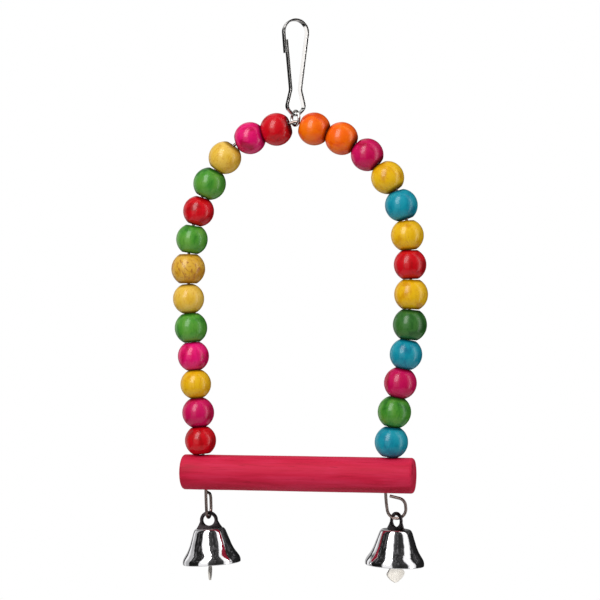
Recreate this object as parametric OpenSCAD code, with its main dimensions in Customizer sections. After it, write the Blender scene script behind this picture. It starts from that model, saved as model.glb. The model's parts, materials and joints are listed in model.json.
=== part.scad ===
// Hanging swing for a small cage bird: a spring hook, a ring, one bent wire strung with wooden
// beads, a wooden perch on the wire, and a bell on each end of the wire.
// The origin is the centre of the hook's loop. +X runs along the perch and +Z is up.

/* [Beads] */
// Diameter of a standard bead
bead_d = 14; // [13:0.1:16]
// Length of a standard bead along its bore
bead_l = 12.23; // [11:0.01:12.6]
// Diameter of the bore through a bead
bead_bore_d = 3; // [2.6:0.1:3.4]
// Gap between two neighbours on the wire
bead_gap = 0.12; // [0.1:0.02:0.3]
// Bare wire from the top of the arch to the face of the first bead
bare_run = 2.75; // [2.7:0.05:5]

/* [Wire] */
// Diameter of the frame wire
wire_d = 1.3; // [1:0.1:1.6]
// Radius of the kink at the top of the arch
kink_r = 3; // [2:0.5:6]
// Dip of the wire to the left of the kink
left_dip = 17; // [12:1:22]
// Straight run left of the kink
left_run = 20.3; // [16:0.1:24]
// Radius of the left shoulder
left_shoulder_r = 21; // [20:1:32]
// Turn of the left shoulder
left_shoulder_turn = 36; // [32:1:40]
// Radius of the left side
left_side_r = 83; // [70:1:100]
// Turn of the left side
left_side_turn = 42; // [38:1:45]
// Dip of the wire to the right of the kink
right_dip = 18; // [13:1:23]
// Straight run right of the kink
right_run = 14.5; // [10:0.5:19]
// Radius of the right shoulder
right_shoulder_r = 50; // [44:1:56]
// Turn of the right shoulder
right_shoulder_turn = 66; // [62:1:70]
// Radius of the right side
right_side_r = 195; // [150:5:220]
// Turn of the right side
right_side_turn = 18; // [14:1:21]
// Straight run below the right side
right_low_run = 14; // [10:1:18]
// Radius of the bend back in the right leg
right_low_r = 60; // [40:5:80]
// Turn of the bend back in the right leg
right_low_turn = 7; // [4:1:9]

/* [Bell hooks in the wire] */
// Radius of the slight bend below the perch
neck_r = 44; // [30:1:60]
// Straight run below that bend on the left
left_neck = 2.2; // [0:0.1:4]
// Straight run below that bend on the right
right_neck = 0.3; // [0:0.1:4]
// Radius of the round bottom of the hook
eye_r = 4.0; // [3.8:0.1:5]
// Straight rise beside the neck
eye_rise = 0.9; // [0.5:0.1:3]
// Radius of the curl at the end
curl_r = 3.4; // [2.4:0.1:4]
// Straight run to the cut end
tip_run = 4.2; // [3:0.1:5.6]
// Turn of the left hook about the leg
left_eye_yaw = 90; // [60:1:120]
// Turn of the right hook about the leg
right_eye_yaw = 0; // [-20:1:20]

/* [Perch] */
// Diameter of the dowel
perch_d = 15.2; // [12:0.1:18]
// Length of the dowel
perch_l = 101.5; // [96:0.5:130]
// How far the middle of the dowel sits from the hook's line
perch_shift = 0.8; // [-3:0.1:3]
// Rounding of the dowel's end edges
perch_round = 0.6; // [0.3:0.1:1.5]
// Gap between the dowel and the wire in its drilled holes
perch_gap = 0.15; // [0.1:0.05:0.4]
// Gap under the dowel down to the cut ends of the wire, which catch it
catch_gap = 0.5; // [0.2:0.05:0.8]

/* [Ring] */
// Outside diameter of the ring
ring_od = 7.4; // [7:0.1:9]
// Diameter of the ring's wire
ring_wire_d = 1.2; // [1:0.1:1.4]
// Turn of the ring's plane from the plane across the arch
ring_yaw = 42; // [30:1:50]
// Drop of the ring's inner edge from the hook strip
ring_play = 0.25; // [0.2:0.05:0.4]
// Gap under the frame wire where it hangs in the ring
wire_play = 0.25; // [0.2:0.05:0.4]

/* [Hook] */
// Radius inside the hanging loop, where the cage bar sits
loop_r = 5; // [4:0.1:7]
// Depth to which the bar's seat is pressed into the strip
seat_cut = 0.05; // [0.04:0.01:0.1]
// Half of the width inside the bulb that holds the ring
bulb_half_w = 3.4; // [3.2:0.05:4]
// Radius inside the bends at the bulb's sides
bulb_r = 2.4; // [2.2:0.1:2.8]
// Radius inside the bend that the ring sits in
seat_r = 1.8; // [1.5:0.1:2.2]
// Lean of the bulb's two straight sides over the ring's seat
seat_lean = 45; // [40:1:52]
// Distance from the middle of the loop to the ring's seat
hook_reach = 35.3; // [31:0.1:43]
// Thickness of the strip
strip_t = 0.8; // [0.6:0.1:1]
// Width of the strip
strip_w = 3; // [2.4:0.1:3.4]
// Lean of the two long sides towards the waist
side_lean = 7.5; // [6:0.5:9]
// Lean of the short sides between the waist and the bulb
flare_lean = 14; // [10:1:18]
// Radius of the bend at the waist
waist_r = 4; // [2:0.5:6]
// Lean of the loop's free end
free_lean = 4.5; // [3:0.5:6]
// Length of the loop's free end below the middle of the loop
free_l = 9; // [7:0.5:11]
// How far the gate reaches above the loop's free end
gate_lap = 5.6; // [3:0.1:6]
// Gap between the gate and the free end, and at the gate's root
gate_gap = 0.2; // [0.16:0.02:0.26]
// Turn of the hook about the vertical
hook_yaw = 33; // [20:1:45]

/* [Bells] */
// Outside diameter of the bell's rim
bell_d = 25.2; // [22:0.1:30]
// Height of the bell from rim to crown
bell_h = 15.2; // [13.4:0.1:19]
// Wall of the bell
bell_wall = 0.6; // [0.4:0.1:1]
// Thickness of the hanger plate
ear_t = 0.6; // [0.5:0.1:0.9]
// Radius of the round top of the hanger
ear_r = 3.95; // [3.6:0.05:4.6]
// Radius of the hanger's hole
ear_hole_r = 2.4; // [2.3:0.05:2.6]
// Height of the hole's middle above the crown
ear_h = 3.5; // [3.3:0.1:4.2]
// Width of the hanger where it stands on the crown
ear_foot_w = 11.4; // [9:0.2:12]
// Gap between the wire and the top of the hanger's hole
ear_play = 0.6; // [0.5:0.05:0.7]
// Gap round the stem in the crown's slot
slot_gap = 0.1; // [0.05:0.05:0.2]
// Depth of the clapper's pivot below the crown
pivot_h = 4.4; // [4.2:0.1:5]
// Turn of the left bell about the vertical
left_bell_yaw = 8; // [-20:1:30]
// Turn of the right bell about the vertical
right_bell_yaw = -41; // [-50:1:-38]
// Lean of the left bell on its wire, with its mouth towards the right
left_bell_lean = 4; // [0:0.5:6]
// Lean of the right bell on its wire, with its mouth towards the left
right_bell_lean = 2.5; // [0:0.5:6]

/* [Clappers] */
// Length of a clapper from its pivot to its tip
clapper_l = 18.3; // [16:0.1:20]
// Width of the leaf
clapper_w = 9.6; // [7:0.1:11]
// Thickness of the leaf
clapper_t = 0.8; // [0.6:0.1:1]
// Radius of the linked holes in the hanger and the clapper
link_hole_r = 1.1; // [1:0.05:1.2]
// Width of the metal round both linked holes
link_band = 0.8; // [0.6:0.05:0.9]
// Gap in the link between hanger and clapper
link_gap = 0.2; // [0.15:0.05:0.3]

/* [Hidden] */
BEADS = 13;
SIDES = ["left", "right"];
LEFT = 0;
RIGHT = 1;
$fn = 96;

// Overrun of every cut
cut = 1;
full_turn = 360;
quarter = 90;

// Diameter of each bead as a share of the standard bead, from the perch to the top
bead_size_shares = [
    [0.97, 0.99, 0.95, 0.97, 1.01, 0.97, 1.05, 0.98, 0.96, 1.01, 1.01, 0.99, 1.01],
    [1.02, 1.02, 1.00, 0.99, 1.04, 1.03, 0.99, 1.00, 1.00, 1.01, 1.00, 1.01, 1.01]];
// Length of each bead as a share of the standard bead
bead_length_shares = [
    [0.94, 1.02, 0.99, 0.98, 1.01, 1.04, 1.03, 0.97, 0.99, 1.02, 1.02, 0.99, 0.98],
    [1.02, 1.02, 1.00, 0.99, 1.03, 1.02, 0.99, 1.00, 1.00, 1.01, 1.00, 1.00, 0.99]];
bead_colours = [
    ["crimson", "mediumvioletred", "goldenrod", "deeppink", "olivedrab", "khaki", "burlywood",
     "olivedrab", "crimson", "olivedrab", "gold", "deeppink", "firebrick"],
    ["darkcyan", "olivedrab", "crimson", "darkcyan", "darkolivegreen", "gold", "firebrick",
     "gold", "teal", "gold", "mediumvioletred", "darkorange", "darkorange"]];

// Radius and depth along the bell's outline, as shares of its rim radius and its height
bell_outline_shares = [
    [0.44, 0], [0.485, 0.008], [0.52, 0.03], [0.555, 0.08], [0.582, 0.14], [0.624, 0.245], [0.673, 0.36],
    [0.716, 0.465], [0.775, 0.575], [0.817, 0.64], [0.862, 0.70], [0.912, 0.76], [0.957, 0.82], [0.985, 0.87],
    [1, 0.925], [1, 1]];
// Half width and depth along a clapper's leaf, as shares of its half width and its length
leaf_outline_shares = [
    [0.13, 0.08], [0.15, 0.32], [0.40, 0.55], [0.80, 0.70], [0.98, 0.765], [0.94, 0.82],
    [0.72, 0.89], [0.40, 0.955], [0.12, 0.995]];
// Half width and height along the hanger's side, as shares of the foot's and the hole's height
ear_side_shares = [[1, 0], [0.96, 0.11], [0.83, 0.42], [0.69, 0.88]];

wire_r = wire_d / 2;
ring_r = (ring_od - ring_wire_d) / 2;
ring_hole_r = ring_od / 2 - ring_wire_d;
bead_hang = (bead_bore_d - wire_d) / 2 - 2 * bead_gap;
// The wire leaves upright by this much where a bead moves from its inner to its outer side
hang_blend = 5;
straighten_r = 8;
neck_turn = 10;
eye_turn = 175;
curl_turn = 72.5;
// Largest turn between two sections of a bend, how far its flats may cut inside it, and a section's sides
bend_step = 8;
bend_flat = 0.02;
wire_sides = 12;

function bead_name(side, i) = str("bead_", side, "_", i < 9 ? "0" : "", i + 1);
function radians(a) = a * PI / 180;
function sum(v, i = 0) = i < len(v) ? v[i] + sum(v, i + 1) : 0;

// A run of wire or strip is a list of [bend radius, turn, straight run]. A positive turn goes down.
function bend_length(b) = b[0] * radians(abs(b[1]));
function run_length(bends) = sum([for (b = bends) bend_length(b) + b[2]]);
function run_turn(bends) = sum([for (b = bends) b[1]]);

// Place and heading at a distance along a bend, from a place [x, z] and a heading
function along_bend(b, s, at) =
    let (arc = min(s, bend_length(b)), rest = s - arc, way = sign(b[1]))
    let (end = at[2] + (b[0] > 0 ? way * arc / b[0] * 180 / PI : 0))
    [at[0] + way * b[0] * (sin(end) - sin(at[2])) + rest * cos(end),
     at[1] + way * b[0] * (cos(end) - cos(at[2])) - rest * sin(end),
     end];

// Place and heading at a distance along a run
function along(bends, s, at = [0, 0, 0], i = 0) =
    let (whole = bend_length(bends[i]) + bends[i][2])
    s <= whole || i == len(bends) - 1
        ? along_bend(bends[i], s, at)
        : along(bends, s - whole, along_bend(bends[i], whole, at), i + 1);
function run_end(bends, at = [0, 0, 0]) = along(bends, run_length(bends), at);

// Each half of the arch, from its top to where its straight leg starts
arch_bends = [
    [[kink_r, left_dip, left_run], [left_shoulder_r, left_shoulder_turn, 0],
     [left_side_r, left_side_turn, 0]],
    [[kink_r, right_dip, right_run], [right_shoulder_r, right_shoulder_turn, 0],
     [right_side_r, right_side_turn, right_low_run], [right_low_r, -right_low_turn, 0]]];
leg_heading = [for (k = [LEFT, RIGHT]) run_turn(arch_bends[k])];
leg_lean = [for (h = leg_heading) abs(h - quarter)];

function bead_size(k, i) = bead_size_shares[k][i] * bead_d;
function bead_length(k, i) = bead_length_shares[k][i] * bead_l;
function rim_r(k, i) = sqrt(pow(bead_size(k, i) / 2, 2) - pow(bead_length(k, i) / 2, 2));
function perch_wedge(k) = rim_r(k, 0) * sin(leg_lean[k]);

// Place and heading of a bead's middle, hanging on the wire inside its bore
function hanging(p) =
    let (hang = bead_hang * max(-1, min(1, cos(p[2]) / sin(hang_blend))))
    [p[0] - hang * sin(p[2]), p[1] - hang * cos(p[2]), p[2]];
// Distance between the middles of two neighbours that lean on each other by an angle
function spacing(k, i, lean) =
    (bead_length(k, i) + bead_length(k, i + 1)) / 2 * cos(lean / 2)
        + (rim_r(k, i) + rim_r(k, i + 1)) * sin(lean / 2) + bead_gap;
// The length of wire between the two, from where one is and the way to the other, in a few tries
function pitch(k, i, s, way, try, tries = 4) =
    tries == 0 ? try :
    let (a = hanging(along(arch_bends[k], s)), b = hanging(along(arch_bends[k], s + way * try)))
    pitch(k, i, s, way, try + spacing(k, i, abs(a[2] - b[2])) - norm([a[0] - b[0], a[1] - b[1]]), tries - 1);

// Height from the top of the arch down to the dowel's axis, for the longer of the two strings
function string_end(k, s, i = BEADS - 1) =
    i == 0 ? s : string_end(k, s + pitch(k, i - 1, s, 1, bead_l), i - 1);
function leg_need(k) =
    string_end(k, bare_run + bead_length(k, BEADS - 1) / 2) + bead_length(k, 0) / 2 + bead_gap
        + perch_wedge(k) - run_length(arch_bends[k]);
function arch_need(k) =
    -run_end(arch_bends[k])[1] + leg_need(k) * sin(leg_heading[k]) + perch_d / 2;
arch_h = max(arch_need(LEFT), arch_need(RIGHT));
function leg_run(k, drop) = (drop + run_end(arch_bends[k])[1]) / sin(leg_heading[k]);

// The hooks below the perch, whose cut ends carry the dowel
neck_runs = [left_neck, right_neck];
function eye_bends(k) = [
    [neck_r, -neck_turn, neck_runs[k]],
    [eye_r, -eye_turn, eye_rise + neck_runs[k]],
    [curl_r, -curl_turn, tip_run]];
function eye_tip(k) = run_end(eye_bends(k), [0, 0, quarter]);
function eye_lift(k) = -(eye_tip(k)[1] + wire_r + catch_gap);
function eye_low(k) =
    along(eye_bends(k), bend_length(eye_bends(k)[0]) + neck_runs[k]
        + eye_r * radians(quarter - neck_turn), [0, 0, quarter]);
function eye_level(k) = arch_h + perch_d / 2 - eye_lift(k);
function straighten(k) = [straighten_r, quarter - leg_heading[k], 0];
function straighten_drop(k) = abs(straighten_r * sin(leg_lean[k]));
function half_wire(k) = concat(
    [for (j = [0:len(arch_bends[k]) - 1])
        let (b = arch_bends[k][j], last = j == len(arch_bends[k]) - 1)
        [b[0], b[1], b[2] + (last ? leg_run(k, eye_level(k) - straighten_drop(k)) : 0)]],
    [straighten(k)]);
half_wires = [half_wire(LEFT), half_wire(RIGHT)];
side_way = [-1, 1];

// Heights from the hook down
hook_low_z = -hook_reach;
ring_skew = hook_yaw - ring_yaw;
strip_chord = strip_w / 2 / cos(ring_skew) + strip_t * tan(abs(ring_skew));
ring_drop = sqrt(pow(ring_hole_r, 2) - pow(strip_chord, 2)) - ring_play;
ring_z = hook_low_z - ring_drop;
apex_z = ring_z - ring_hole_r + wire_r + wire_play;
perch_z = apex_z - arch_h;

function leg_point(k, z) =
    let (e = run_end(arch_bends[k]), r = leg_run(k, apex_z - z))
    [side_way[k] * (e[0] + r * cos(leg_heading[k])), 0, z];
perch_hole_x = [for (k = [LEFT, RIGHT]) leg_point(k, perch_z)[0]];
perch_hole_d = [for (k = [LEFT, RIGHT]) wire_d / cos(leg_lean[k]) + perch_d * tan(leg_lean[k]) + 2 * perch_gap];

// Distances of the beads along their half of the wire, from the perch to the top
function wire_length_to(k, z) = run_length(arch_bends[k]) + leg_run(k, apex_z - z);
function first_bead_s(k) =
    wire_length_to(k, perch_z + perch_d / 2) - perch_wedge(k) - bead_gap - bead_length(k, 0) / 2;
function bead_string(k, s, i = 0) =
    concat([s], i < BEADS - 1
        ? bead_string(k, s - pitch(k, i, s, -1, bead_l), i + 1)
        : []);
bead_s = [for (k = [LEFT, RIGHT]) bead_string(k, first_bead_s(k))];

// Place [x, 0, z] and heading of a bead
function bead_pose(k, i) =
    let (p = hanging(along(half_wires[k], bead_s[k][i])))
    [side_way[k] * p[0], 0, apex_z + p[1], p[2]];

// Where each bell hangs: the lowest point of its wire hook
eye_yaws = [left_eye_yaw, right_eye_yaw];
function eye_start(k) =
    let (e = run_end(half_wires[k])) [side_way[k] * e[0], 0, apex_z + e[1]];
function bell_pivot(k) =
    let (a = eye_start(k), e = eye_low(k))
    a + [e[0] * cos(eye_yaws[k]), e[0] * sin(eye_yaws[k]), e[1]];
crown_drop = ear_hole_r + ear_h - wire_r - ear_play;
bell_yaws = [left_bell_yaw, right_bell_yaw];
bell_leans = [-left_bell_lean, right_bell_lean];
// The clapper hangs plumb from its link under the leaning crown
function clapper_pivot(k) =
    bell_pivot(k) - (crown_drop + pivot_h) * [sin(bell_leans[k]), 0, cos(bell_leans[k])];

// The clapper's ring is linked through the eye of the hanger's stem and hangs on its lower bar
link_outer_r = link_hole_r + link_band;
stem_w = 2 * link_outer_r;
stem_eye_h = pivot_h - link_hole_r - link_band / 2;
link_drop = link_hole_r - link_band / 2 - link_gap;
leaf_l = clapper_l - link_drop;

// Outline of the hook in its own plane
loop_mid_r = loop_r - seat_cut + strip_t / 2;
bulb_mid_r = bulb_r + strip_t / 2;
seat_mid_r = seat_r + strip_t / 2;
bulb_run = (bulb_half_w + strip_t / 2 - bulb_mid_r * (1 - cos(seat_lean)) - seat_mid_r * cos(seat_lean))
    / sin(seat_lean);
bulb_rise = bulb_mid_r * (sin(seat_lean) + sin(flare_lean)) + bulb_run * cos(seat_lean)
    + seat_mid_r * (1 - sin(seat_lean));
function cross2(a, b) = a[0] * b[1] - a[1] * b[0];
side_start = loop_mid_r * [cos(side_lean), -sin(side_lean)];
side_way_in = [-sin(side_lean), -cos(side_lean)];
flare_end = [bulb_half_w + strip_t / 2 - bulb_mid_r * (1 - cos(flare_lean)),
    hook_low_z - strip_t / 2 + bulb_rise];
flare_way_up = [-sin(flare_lean), cos(flare_lean)];
waist_cross = cross2(side_way_in, flare_way_up);
side_l = cross2(flare_end - side_start, flare_way_up) / waist_cross;
flare_l = cross2(flare_end - side_start, side_way_in) / waist_cross;
waist = side_start + side_l * side_way_in;
waist_trim = waist_r * tan((side_lean + flare_lean) / 2);
free_start = loop_mid_r * [-cos(free_lean), -sin(free_lean)];
free_run = (free_l + free_start[1]) / cos(free_lean);
free_end = free_start + free_run * [sin(free_lean), -cos(free_lean)];
// The gate's middle line passes the free end with the gap and meets the strip at the waist
gate_pass_x = free_end[0] + strip_t + gate_gap;
gate_lean = atan((-waist[0] - gate_pass_x) / (free_end[1] - waist[1]));
gate_trim = waist_r * tan((gate_lean + flare_lean) / 2);
gate_root_run = gate_trim + strip_t + gate_gap;
gate_way = [-sin(gate_lean), cos(gate_lean)];
gate_pivot = [-waist[0], waist[1]] + gate_root_run * gate_way;
gate_run = (free_end[1] + gate_lap - gate_pivot[1]) / cos(gate_lean);

// Places and headings along a run, at every end of a straight and at even steps round a bend
function steps(b) =
    let (step = b[0] > bend_flat ? min(bend_step, 2 * acos(1 - bend_flat / b[0])) : bend_step)
    max(1, ceil(abs(b[1]) / step));
function samples(bends, at, i = 0) =
    i == len(bends) ? [] :
    let (b = bends[i], arc = bend_length(b), n = steps(b))
    concat(
        arc > 0 ? [for (j = [1:n]) along_bend(b, arc * j / n, at)] : [],
        b[2] > 0 ? [along_bend(b, arc + b[2], at)] : [],
        samples(bends, along_bend(b, arc + b[2], at), i + 1));

// Ring of points round the wire at a sample of a run that starts at o and goes out along yaw
function section(o, yaw, s, first) =
    let (out = [cos(yaw), sin(yaw), 0], up = [0, 0, 1], across = [-sin(yaw), cos(yaw), 0])
    let (normal = sin(s[2]) * out + cos(s[2]) * up)
    [for (j = [0:wire_sides - 1])
        let (a = first + j * full_turn / wire_sides)
        o + s[0] * out + s[1] * up + wire_r * (cos(a) * normal + sin(a) * across)];

// Sections of half the wire from its top to its cut end, turned so that they follow on without a twist
side_yaws = [180, 0];
function half_sections(k) = concat(
    [for (s = samples(half_wires[k], [0, 0, 0])) section([0, 0, apex_z], side_yaws[k], s, 0)],
    [for (s = samples(eye_bends(k), [0, 0, quarter]))
        section(eye_start(k), eye_yaws[k], s, side_yaws[k] - eye_yaws[k])]);
function reversed(v) = [for (j = [len(v) - 1:-1:0]) v[j]];
// The left half's sections run the other way round, so their points are taken backwards
function backwards(ring) = [for (j = [0:wire_sides - 1]) ring[(wire_sides - j) % wire_sides]];

module tube(rings) {
    n = wire_sides;
    last = (len(rings) - 1) * n;
    polyhedron(
        points = [for (r = rings) for (p = r) p],
        faces = concat(
            [[for (j = [0:n - 1]) j]],
            [for (i = [0:len(rings) - 2]) for (j = [0:n - 1])
                let (a = i * n + j, b = i * n + (j + 1) % n) each [[a, a + n, b + n], [a, b + n, b]]],
            [[for (j = [n - 1:-1:0]) last + j]]));
}

// Outline of a strip that follows a run in its own plane, from a place and heading
function strip_side(run, start, off) =
    [for (s = concat([start], samples(run, start))) [s[0] + off * sin(s[2]), s[1] + off * cos(s[2])]];
module strip(run, start) {
    rotate([quarter, 0, 0])
        linear_extrude(strip_w, center = true)
            polygon(concat(strip_side(run, start, strip_t / 2),
                reversed(strip_side(run, start, -strip_t / 2))));
}

module in_hook_plane() {
    rotate([0, 0, hook_yaw]) children();
}

module spring_hook() {
    body = [
        [1, 0, free_run],
        [loop_mid_r, 180 + free_lean + side_lean, side_l - waist_trim],
        [waist_r, -(side_lean + flare_lean), flare_l - waist_trim],
        [bulb_mid_r, flare_lean + seat_lean, bulb_run],
        [seat_mid_r, 180 - 2 * seat_lean, bulb_run],
        [bulb_mid_r, flare_lean + seat_lean, flare_l - gate_trim],
        [waist_r, -(gate_lean + flare_lean), strip_t / 2]];
    color("silver") in_hook_plane()
        difference() {
            strip(body, [free_end[0], free_end[1], -(quarter + free_lean)]);
            rotate([quarter, 0, 0]) cylinder(h = strip_w + 2 * cut, r = loop_r, center = true);
        }
}

module hook_gate() {
    color("silver") in_hook_plane() {
        strip([[1, 0, gate_run]], [gate_pivot[0], gate_pivot[1], -(quarter + gate_lean)]);
        translate([gate_pivot[0], 0, gate_pivot[1]])
            rotate([quarter, 0, 0]) cylinder(h = strip_w, r = strip_t / 2, center = true);
    }
}

module swivel_ring() {
    color("gainsboro")
        translate([0, 0, ring_z])
            rotate([quarter, 0, quarter + ring_yaw])
                rotate_extrude() translate([ring_r, 0]) circle(r = ring_wire_d / 2);
}

module frame_wire() {
    left = [for (r = half_sections(LEFT)) backwards(r)];
    top = section([0, 0, apex_z], side_yaws[RIGHT], [0, 0, 0], 0);
    color("darkgray") tube(concat(reversed(left), [top], half_sections(RIGHT)));
}

module perch() {
    color("crimson") difference() {
        translate([perch_shift, 0, perch_z])
            rotate([0, quarter, 0])
                rotate_extrude()
                    polygon([
                        [0, -perch_l / 2],
                        [perch_d / 2 - perch_round, -perch_l / 2],
                        [perch_d / 2, -perch_l / 2 + perch_round],
                        [perch_d / 2, perch_l / 2 - perch_round],
                        [perch_d / 2 - perch_round, perch_l / 2],
                        [0, perch_l / 2]]);
        for (k = [LEFT, RIGHT])
            translate([perch_hole_x[k], 0, perch_z])
                cylinder(h = perch_d + 2 * cut, d = perch_hole_d[k], center = true);
    }
}

module bead(k, i) {
    p = bead_pose(k, i);
    size = bead_size(k, i);
    length = bead_length(k, i);
    color(bead_colours[k][i])
        translate([p[0], p[1], p[2]])
            rotate([0, side_way[k] * (quarter + p[3]), 0])
                difference() {
                    intersection() {
                        sphere(d = size);
                        cylinder(h = length, d = size + cut, center = true);
                    }
                    cylinder(h = length + 2 * cut, d = bead_bore_d, center = true);
                }
}

// Places its children with the crown's middle at the origin, turned and leaning as the bell hangs
module in_bell(k) {
    translate(bell_pivot(k))
        rotate([0, bell_leans[k], 0])
            translate([0, 0, -crown_drop])
                rotate([0, 0, bell_yaws[k]]) children();
}

function bell_outline(inset) = concat(
    [[0, -inset]],
    [for (p = bell_outline_shares)
        [p[0] * bell_d / 2 - inset, -max(inset, p[1] * bell_h)]]);

module bell_shell(k) {
    color("gainsboro") in_bell(k)
        difference() {
            rotate_extrude()
                polygon(concat(
                    bell_outline(0),
                    reversed(bell_outline(bell_wall))));
            translate([0, 0, -bell_wall / 2])
                cube([stem_w + 2 * slot_gap, ear_t + 2 * slot_gap, bell_wall + 2 * cut], center = true);
        }
}

module hanger_outline() {
    foot = ear_foot_w / 2;
    difference() {
        union() {
            intersection() {
                translate([0, ear_h]) circle(r = ear_r);
                translate([-ear_r, 0]) square([2 * ear_r, ear_h + ear_r]);
            }
            polygon(concat(
                [for (p = ear_side_shares) [p[0] * foot, p[1] * ear_h]],
                [[0, ear_h]],
                [for (p = reversed(ear_side_shares)) [-p[0] * foot, p[1] * ear_h]]));
            translate([-stem_w / 2, -stem_eye_h]) square([stem_w, stem_eye_h + cut]);
            translate([0, -stem_eye_h]) circle(r = link_outer_r);
        }
        translate([0, ear_h]) circle(r = ear_hole_r);
        translate([0, -stem_eye_h]) circle(r = link_hole_r);
    }
}

module bell_hanger(k) {
    color("silver") in_bell(k)
        rotate([quarter, 0, 0])
            translate([0, 0, -ear_t / 2]) linear_extrude(ear_t) hanger_outline();
}

module bell_clapper(k) {
    color("whitesmoke") translate(clapper_pivot(k) - [0, 0, link_drop])
        rotate([0, 0, bell_yaws[k]])
            rotate([quarter, 0, quarter])
                difference() {
                    union() {
                        cylinder(h = clapper_t, r = link_outer_r, center = true);
                        linear_extrude(clapper_t, center = true)
                            polygon(concat(
                                [for (p = leaf_outline_shares)
                                    [-p[0] * clapper_w / 2, -p[1] * leaf_l]],
                                [[0, -leaf_l]],
                                [for (p = reversed(leaf_outline_shares))
                                    [p[0] * clapper_w / 2, -p[1] * leaf_l]]));
                    }
                    cylinder(h = clapper_t + 2 * cut, r = link_hole_r, center = true);
                }
}

spring_hook();
hook_gate();
swivel_ring();
frame_wire();
perch();
for (k = [LEFT, RIGHT]) {
    for (i = [0:BEADS - 1])
        bead(k, i);
    bell_shell(k);
    bell_hanger(k);
    bell_clapper(k);
}
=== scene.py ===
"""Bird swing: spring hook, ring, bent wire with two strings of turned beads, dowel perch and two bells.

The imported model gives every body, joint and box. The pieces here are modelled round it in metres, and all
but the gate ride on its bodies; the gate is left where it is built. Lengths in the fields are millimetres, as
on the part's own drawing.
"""
from __future__ import annotations

import json
import logging
import math
from dataclasses import dataclass
from enum import Enum

import bpy
from mathutils import Matrix, Vector

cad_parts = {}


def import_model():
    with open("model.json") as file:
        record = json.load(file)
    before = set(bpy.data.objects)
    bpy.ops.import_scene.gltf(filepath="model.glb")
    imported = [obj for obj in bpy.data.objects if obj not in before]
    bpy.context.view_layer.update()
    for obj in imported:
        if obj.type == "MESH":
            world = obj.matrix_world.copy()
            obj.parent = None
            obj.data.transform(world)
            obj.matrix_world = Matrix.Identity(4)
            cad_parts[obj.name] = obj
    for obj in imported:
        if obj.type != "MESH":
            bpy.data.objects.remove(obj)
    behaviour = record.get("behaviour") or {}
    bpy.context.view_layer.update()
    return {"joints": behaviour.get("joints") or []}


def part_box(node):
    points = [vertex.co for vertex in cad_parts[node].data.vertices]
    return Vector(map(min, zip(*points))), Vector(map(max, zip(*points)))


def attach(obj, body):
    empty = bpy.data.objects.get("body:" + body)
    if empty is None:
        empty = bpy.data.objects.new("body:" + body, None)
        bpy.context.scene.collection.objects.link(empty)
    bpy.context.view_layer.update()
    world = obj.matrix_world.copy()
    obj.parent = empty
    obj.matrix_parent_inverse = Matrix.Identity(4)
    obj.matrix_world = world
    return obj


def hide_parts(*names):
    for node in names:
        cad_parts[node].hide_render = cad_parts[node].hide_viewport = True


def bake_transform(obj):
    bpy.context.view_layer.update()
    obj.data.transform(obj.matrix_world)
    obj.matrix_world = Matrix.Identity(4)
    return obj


LOG = logging.getLogger("bird_swing")
MM = 0.001
NEAR_ZERO = 1e-9
Pair = tuple[float, float]
Triple = tuple[float, float, float]
Colour = tuple[float, float, float, float]
Joints = dict[str, dict]
Inputs = dict[str | int, object]
Material = bpy.types.Material
Node = bpy.types.Node
Piece = bpy.types.Object
Socket = bpy.types.NodeSocket
Shade = Socket | Colour
BLACK: Colour = (0.0, 0.0, 0.0, 1.0)
WHITE: Colour = (1.0, 1.0, 1.0, 1.0)
EVEN: Triple = (1.0, 1.0, 1.0)
GRAIN_STEP = Vector((0.31, 0.17, 0.23))


# Outlines and runs


def rounded(corners: list[Triple], steps: int = 6) -> list[Pair]:
    """Rounds the corners of an open or closed outline with arcs.

    Args:
        corners: (x, y, radius) of each corner, where radius 0 keeps the corner sharp.
        steps: pieces in each arc.

    Returns:
        The outline's points in order.
    """
    near_straight = math.pi / 2 - 1e-3
    points: list[Pair] = []
    for i, (x, y, radius) in enumerate(corners):
        here = Vector((x, y))
        to_before = Vector(corners[i - 1][:2]) - here
        to_after = Vector(corners[(i + 1) % len(corners)][:2]) - here
        if radius <= 0 or min(to_before.length, to_after.length) < NEAR_ZERO:
            points.append((x, y))
            continue
        to_before.normalize()
        to_after.normalize()
        half = math.acos(max(-1.0, min(1.0, to_before.dot(to_after)))) / 2
        if half > near_straight:
            points.append((x, y))
            continue
        centre = here + (to_before + to_after).normalized() * (radius / math.sin(half))
        first = here + to_before * (radius / math.tan(half)) - centre
        last = here + to_after * (radius / math.tan(half)) - centre
        start = math.atan2(first.y, first.x)
        sweep = math.remainder(math.atan2(last.y, last.x) - start, 2 * math.pi)
        for j in range(steps + 1):
            angle = start + sweep * j / steps
            points.append((centre.x + radius * math.cos(angle), centre.y + radius * math.sin(angle)))
    return points


def passing(a: float, b: float, c: float, d: float, t: float) -> float:
    """The smooth curve through four values, at a share t of the way from the second to the third."""
    square, cube = (2 * a - 5 * b + 4 * c - d) * t * t, (3 * b - a - 3 * c + d) * t**3
    return 0.5 * (2 * b + (c - a) * t + square + cube)


def smooth_line(points: list[Pair], steps: int) -> list[Pair]:
    """A smooth line through points, the ends kept.

    Args:
        points: the points to pass.
        steps: pieces between two of them.

    Returns:
        The finer line.
    """
    line: list[Pair] = []
    for i in range(len(points) - 1):
        p0, p1 = points[max(i - 1, 0)], points[i]
        p2, p3 = points[i + 1], points[min(i + 2, len(points) - 1)]
        for j in range(steps):
            line.append(tuple(passing(*four, j / steps) for four in zip(p0, p1, p2, p3)))
    line.append(points[-1])
    return line


def arc(y: float, radius: float, degrees: range) -> list[Pair]:
    """Points on a circle round (0, y), at whole degrees."""
    return [(radius * math.cos(a), y + radius * math.sin(a)) for a in (math.radians(d) for d in degrees)]


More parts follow.
